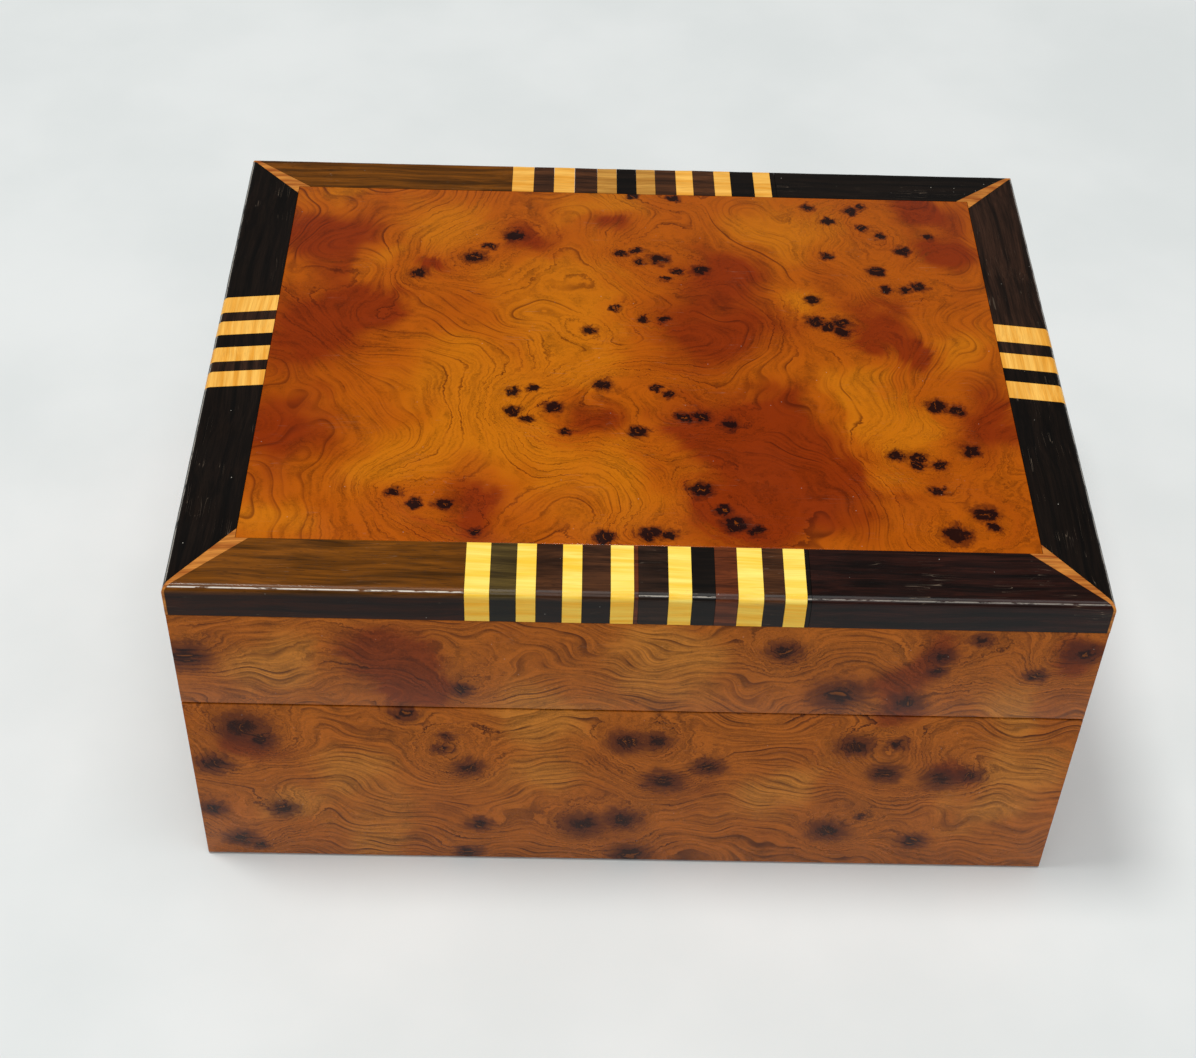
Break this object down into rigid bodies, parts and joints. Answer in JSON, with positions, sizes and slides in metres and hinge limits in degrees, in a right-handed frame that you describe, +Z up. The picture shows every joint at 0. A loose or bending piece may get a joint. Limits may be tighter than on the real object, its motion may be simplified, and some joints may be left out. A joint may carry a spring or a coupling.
{
  "type": "wooden puzzle box",
  "caption": "Burl-veneered wooden puzzle box with an inlaid hinged lid, a sliding front that hides the keyhole and a hidden key tray.",
  "frame": {"origin": "middle of the box's underside", "axes": "+X to the right seen from the front, +Y towards the hinges at the back, +Z up; the front faces -Y"},
  "size_m": [0.13, 0.101, 0.061],
  "materials": {
    "thuya_burl": "hand-rubbed gloss varnish over figured burl veneer",
    "carcass_wood": "plain planed wood, lightly oiled",
    "walnut": "polished straight-grained dark brown wood",
    "ebony": "polished near-black wood",
    "striped_lemonwood": "polished yellow strips glued up with dark strips",
    "citron_wedge": "polished orange-brown strip",
    "brass": "satin brass, slightly tarnished",
    "steel": "plain filed steel"
  },
  "bodies": {
    "base": {"base_front_wall": "carcass_wood", "base_back_wall": "carcass_wood", "base_left_wall": "carcass_wood", "base_right_wall": "carcass_wood", "base_floor": "carcass_wood", "base_back_burl": "thuya_burl", "base_left_burl": "thuya_burl", "base_right_burl": "thuya_burl", "hinge_left_lower_leaf": "brass", "hinge_right_lower_leaf": "brass", "hinge_left_pin": "brass", "hinge_right_pin": "brass", "hinge_left_lower_screw_1": "brass", "hinge_left_lower_screw_2": "brass", "hinge_right_lower_screw_1": "brass", "hinge_right_lower_screw_2": "brass", "lock_case": "brass", "lock_cover": "brass", "lock_spring": "steel", "front_stop_pin": "brass", "tray_stop_pin": "brass"},
    "lid": {"lid_top_board": "carcass_wood", "lid_front_wall": "carcass_wood", "lid_back_wall": "carcass_wood", "lid_left_wall": "carcass_wood", "lid_right_wall": "carcass_wood", "lid_burl_panel": "thuya_burl", "lid_front_burl": "thuya_burl", "lid_back_burl": "thuya_burl", "lid_left_burl": "thuya_burl", "lid_right_burl": "thuya_burl", "border_front_left": "walnut", "border_front_right": "ebony", "border_back_left": "walnut", "border_back_right": "ebony", "border_left_front": "ebony", "border_left_back": "ebony", "border_right_front": "ebony", "border_right_back": "walnut", "stripes_front": "striped_lemonwood", "stripes_back": "striped_lemonwood", "stripes_left": "striped_lemonwood", "stripes_right": "striped_lemonwood", "wedge_front_left": "citron_wedge", "wedge_front_right": "citron_wedge", "wedge_back_left": "citron_wedge", "wedge_back_right": "citron_wedge", "hinge_left_upper_leaf": "brass", "hinge_right_upper_leaf": "brass", "hinge_left_upper_screw_1": "brass", "hinge_left_upper_screw_2": "brass", "hinge_right_upper_screw_1": "brass", "hinge_right_upper_screw_2": "brass", "lock_staple": "brass"},
    "front_slide": {"front_slide_panel": "carcass_wood", "front_slide_burl": "thuya_burl"},
    "key_tray": {"key_tray": "carcass_wood", "key_tray_end_burl": "thuya_burl", "key": "brass"},
    "lock_bolt": {"lock_bolt": "steel"}
  },
  "joints": [
    {"name": "lid_hinge", "type": "hinge", "parent": "base", "child": "lid", "pos_m": [0, 0.04895, 0.03615], "axis": [-1, 0, 0], "range_deg": [0, 95]},
    {"name": "front_slide_travel", "type": "slide", "parent": "base", "child": "front_slide", "axis": [1, 0, 0], "range_m": [0, 0.03]},
    {"name": "key_tray_travel", "type": "slide", "parent": "base", "child": "key_tray", "axis": [-1, 0, 0], "range_m": [0, 0.045]},
    {"name": "bolt_throw", "type": "slide", "parent": "base", "child": "lock_bolt", "axis": [1, 0, 0], "range_m": [0, 0.0045]}
  ]
}
